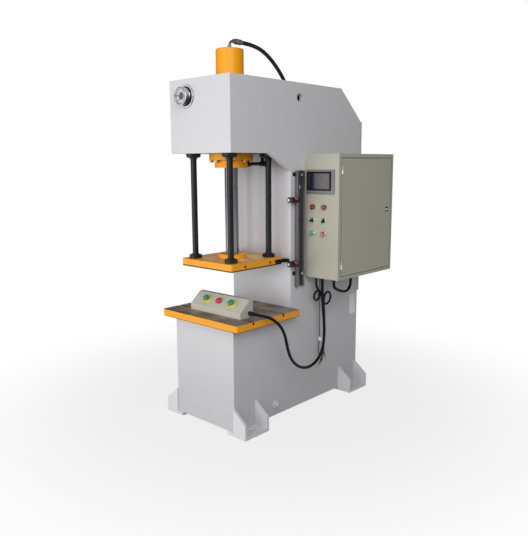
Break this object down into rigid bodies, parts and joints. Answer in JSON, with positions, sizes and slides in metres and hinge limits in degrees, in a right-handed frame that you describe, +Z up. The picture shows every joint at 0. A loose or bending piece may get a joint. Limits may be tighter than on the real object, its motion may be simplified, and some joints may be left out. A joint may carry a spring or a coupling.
{
  "type": "hydraulic press",
  "caption": "Floor-standing C-frame hydraulic press with a guided platen, slotted table, two-hand control console, side control cabinet and hanging cables.",
  "frame": {"origin": "on the floor, at the centre of the four anchor holes in the feet", "axes": "+Z up; the press faces -Y; the control cabinet is on the +X side"},
  "size_m": [0.8663, 1.29, 2.2725],
  "materials": {
    "frame_paint": "satin light grey paint",
    "yellow_paint": "semi-gloss yellow-orange paint",
    "cover_paint": "satin light grey paint",
    "cabinet_paint": "fine-textured beige-grey paint",
    "console_paint": "fine-textured beige-grey paint",
    "black_steel": "blackened steel",
    "hard_chrome": "ground hard chrome",
    "steel": "turned steel",
    "zinc": "zinc-plated steel",
    "cast": "painted cast iron",
    "dark_alloy": "dark anodised aluminium",
    "black_rubber": "smooth rubber",
    "green_rubber": "wire insulation",
    "black_plastic": "moulded plastic",
    "grey_plastic": "moulded plastic",
    "red_plastic": "glossy moulded plastic",
    "green_plastic": "glossy moulded plastic",
    "yellow_plastic": "moulded plastic",
    "chrome": "polished chrome",
    "red_pointer": "painted pointer",
    "ivory_plastic": "moulded plastic"
  },
  "bodies": {
    "frame": {"side_plate_left": "frame_paint", "side_plate_right": "frame_paint", "head_front_plate": "frame_paint", "head_top_plate": "frame_paint", "head_bottom_plate": "frame_paint", "column_front_plate": "frame_paint", "base_front_plate": "frame_paint", "rear_wall": "frame_paint", "rear_cover": "cover_paint", "oil_tank": "cast", "work_table": "yellow_paint", "feet": "frame_paint", "drain_plug": "zinc", "cylinder_barrel": "yellow_paint", "cylinder_flange": "yellow_paint", "rod_gland": "yellow_paint", "flange_bolts": "black_steel", "hose_fittings": "zinc", "hydraulic_hose": "black_rubber", "return_pipe": "black_steel", "guide_bushes": "black_steel", "pump_motor": "cast", "valve_block": "steel", "sensor_rail": "dark_alloy", "rail_straps": "black_steel", "position_sensors": "black_plastic", "clamp_knobs": "red_plastic", "gauge_case": "chrome", "cabinet_shell": "cabinet_paint", "hinge_pins": "zinc", "touch_panel": "grey_plastic", "signal_lamps": "red_plastic", "button_collars": "chrome", "mounting_plate": "steel", "switchgear": "ivory_plastic", "cable_glands": "black_plastic", "console_shell": "console_paint", "console_collars": "yellow_plastic", "two_hand_cable": "black_rubber", "mains_cable": "black_rubber", "mains_leads": "black_rubber", "earth_lead": "green_rubber", "loop_cable": "black_rubber"},
    "slide": {"piston": "steel", "ram": "hard_chrome", "ram_flange": "yellow_paint", "platen": "yellow_paint", "guide_rods": "black_steel", "rod_collars": "black_steel", "striker_arm": "black_steel"},
    "gauge_needle": {"gauge_pointer": "red_pointer"},
    "door": {"cabinet_door": "cabinet_paint"},
    "lock": {"door_lock": "chrome"},
    "left_selector": {"selector_left": "black_plastic"},
    "right_selector": {"selector_right": "black_plastic"},
    "start": {"start_button": "green_plastic"},
    "stop": {"stop_button": "red_plastic"},
    "console_left": {"console_left_button": "green_plastic"},
    "console_right": {"console_right_button": "green_plastic"},
    "console_stop": {"console_stop_button": "red_plastic"}
  },
  "joints": [
    {"name": "press_stroke", "type": "slide", "parent": "frame", "child": "slide", "axis": [0, 0, 1], "range_m": [-0.02, 0.37]},
    {"name": "gauge_turn", "type": "hinge", "parent": "frame", "child": "gauge_needle", "pos_m": [-0.107, -0.636, 1.934], "axis": [0, -1, 0], "range_deg": [-270, 0]},
    {"name": "door_swing", "type": "hinge", "parent": "frame", "child": "door", "pos_m": [0.5138, 0.06, 1.235], "axis": [0, 0, -1], "range_deg": [0, 110]},
    {"name": "lock_turn", "type": "hinge", "parent": "door", "child": "lock", "pos_m": [0.508, 0.559, 1.261], "axis": [1, 0, 0], "range_deg": [0, 90]},
    {"name": "left_selector_turn", "type": "hinge", "parent": "frame", "child": "left_selector", "pos_m": [0.316, 0.031, 1.215], "axis": [0, -1, 0], "range_deg": [-90, 0]},
    {"name": "right_selector_turn", "type": "hinge", "parent": "frame", "child": "right_selector", "pos_m": [0.402, 0.031, 1.215], "axis": [0, -1, 0], "range_deg": [0, 90]},
    {"name": "start_press", "type": "slide", "parent": "frame", "child": "start", "axis": [0, 1, 0], "range_m": [0, 0.004], "stiffness_N_per_m": 400, "springref_m": -0.001},
    {"name": "stop_press", "type": "slide", "parent": "frame", "child": "stop", "axis": [0, 1, 0], "range_m": [0, 0.004], "stiffness_N_per_m": 400, "springref_m": -0.001},
    {"name": "console_left_press", "type": "slide", "parent": "frame", "child": "console_left", "axis": [0, 0.6571, -0.7538], "range_m": [0, 0.005], "stiffness_N_per_m": 500, "springref_m": -0.002},
    {"name": "console_right_press", "type": "slide", "parent": "frame", "child": "console_right", "axis": [0, 0.6571, -0.7538], "range_m": [0, 0.005], "stiffness_N_per_m": 500, "springref_m": -0.002},
    {"name": "console_stop_press", "type": "slide", "parent": "frame", "child": "console_stop", "axis": [0, 0.6571, -0.7538], "range_m": [0, 0.005], "stiffness_N_per_m": 500, "springref_m": -0.002}
  ]
}
